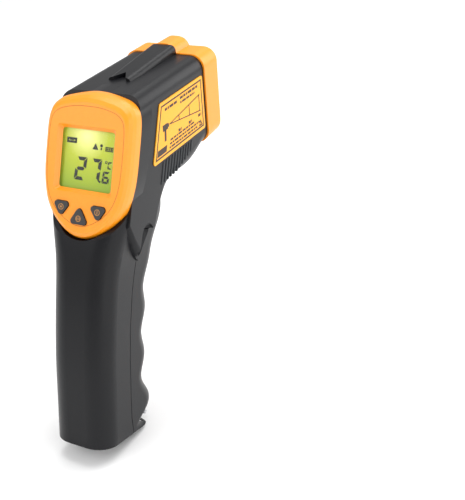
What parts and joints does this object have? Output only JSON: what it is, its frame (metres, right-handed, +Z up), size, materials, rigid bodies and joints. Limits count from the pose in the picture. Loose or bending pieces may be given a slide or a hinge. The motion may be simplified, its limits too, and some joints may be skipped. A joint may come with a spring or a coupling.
{
  "type": "infrared thermometer",
  "caption": "Pistol-grip infrared thermometer with a tilted display, three keys, laser hump over a conical nose aperture, trigger and a hinged battery door as the grip's front.",
  "frame": {"origin": "centre of the grip's flat butt face", "axes": "+X the user's right, +Y the aiming direction, +Z up; the grip leans forward 13.5 degrees from +Z"},
  "size_m": [0.0404, 0.1127, 0.1529],
  "materials": {
    "charcoal_plastic": "textured",
    "orange_plastic": "satin",
    "clear_window": "clear",
    "lcd_glass": "satin",
    "light_guide": "satin",
    "black_plastic": "matte",
    "black_rubber": "matte",
    "green_board": "satin",
    "zinc_steel": "satin",
    "grey_key": "matte",
    "lens_plastic": "translucent",
    "nickel_can": "satin",
    "brass_barrel": "satin",
    "cell_steel": "gloss",
    "yellow_label": "satin",
    "lead_rubber": "satin"
  },
  "bodies": {
    "housing_body": {"aperture_insert": "black_plastic", "battery_cells": "cell_steel", "battery_contacts": "zinc_steel", "battery_cradle": "black_plastic", "battery_leads": "lead_rubber", "battery_link": "zinc_steel", "battery_springs": "zinc_steel", "board_screws": "zinc_steel", "display_bezel": "orange_plastic", "display_window": "clear_window", "door_pin": "zinc_steel", "housing_screws": "zinc_steel", "infrared_lens": "lens_plastic", "key_switches": "black_plastic", "laser_leads": "lead_rubber", "laser_module": "brass_barrel", "laser_window": "clear_window", "lcd_backlight": "light_guide", "lcd_connector": "black_rubber", "lcd_frame": "black_plastic", "lcd_panel": "lcd_glass", "left_housing": "charcoal_plastic", "lens_retainer": "black_plastic", "main_board": "green_board", "main_chip": "black_plastic", "nose_ring": "orange_plastic", "optical_tube": "black_plastic", "right_housing": "charcoal_plastic", "sensor_board": "green_board", "sensor_leads": "lead_rubber", "side_label": "yellow_label", "thermopile_sensor": "nickel_can", "trigger_board": "green_board", "trigger_leads": "lead_rubber", "trigger_pin": "zinc_steel", "trigger_spring": "zinc_steel", "trigger_switch": "black_plastic"},
    "trigger_body": {"trigger": "orange_plastic"},
    "plunger_body": {"switch_plunger": "black_plastic"},
    "left_key_body": {"key_left": "grey_key", "key_left_stem": "black_plastic"},
    "middle_key_body": {"key_middle": "grey_key", "key_middle_stem": "black_plastic"},
    "right_key_body": {"key_right": "grey_key", "key_right_stem": "black_plastic"},
    "door_body": {"battery_door": "charcoal_plastic"}
  },
  "joints": [
    {"name": "trigger_pull", "type": "hinge", "parent": "housing_body", "child": "trigger_body", "pos_m": [0, 0.03659, 0.09457], "axis": [-1, 0, 0], "range_deg": [0, 6], "stiffness_Nm_per_rad": 0.3, "springref_deg": -6.88, "deforming": ["trigger_spring"]},
    {"name": "plunger_slide", "type": "slide", "parent": "housing_body", "child": "plunger_body", "axis": [0, -0.9724, 0.2334], "range_m": [0, 0.0015]},
    {"name": "left_key_press", "type": "slide", "parent": "housing_body", "child": "left_key_body", "axis": [0, 0.933, -0.36], "range_m": [0, 0.0003], "stiffness_N_per_m": 2500, "springref_m": -0.0003},
    {"name": "middle_key_press", "type": "slide", "parent": "housing_body", "child": "middle_key_body", "axis": [0, 0.933, -0.36], "range_m": [0, 0.0003], "stiffness_N_per_m": 2500, "springref_m": -0.0003},
    {"name": "right_key_press", "type": "slide", "parent": "housing_body", "child": "right_key_body", "axis": [0, 0.933, -0.36], "range_m": [0, 0.0003], "stiffness_N_per_m": 2500, "springref_m": -0.0003},
    {"name": "door_swing", "type": "hinge", "parent": "housing_body", "child": "door_body", "pos_m": [0, 0.01595, 0.00131], "axis": [-1, 0, 0], "range_deg": [0, 80]}
  ],
  "couplings": [
    {"joint": "plunger_slide", "follows": "trigger_pull", "m_per_rad": 0.0132}
  ]
}
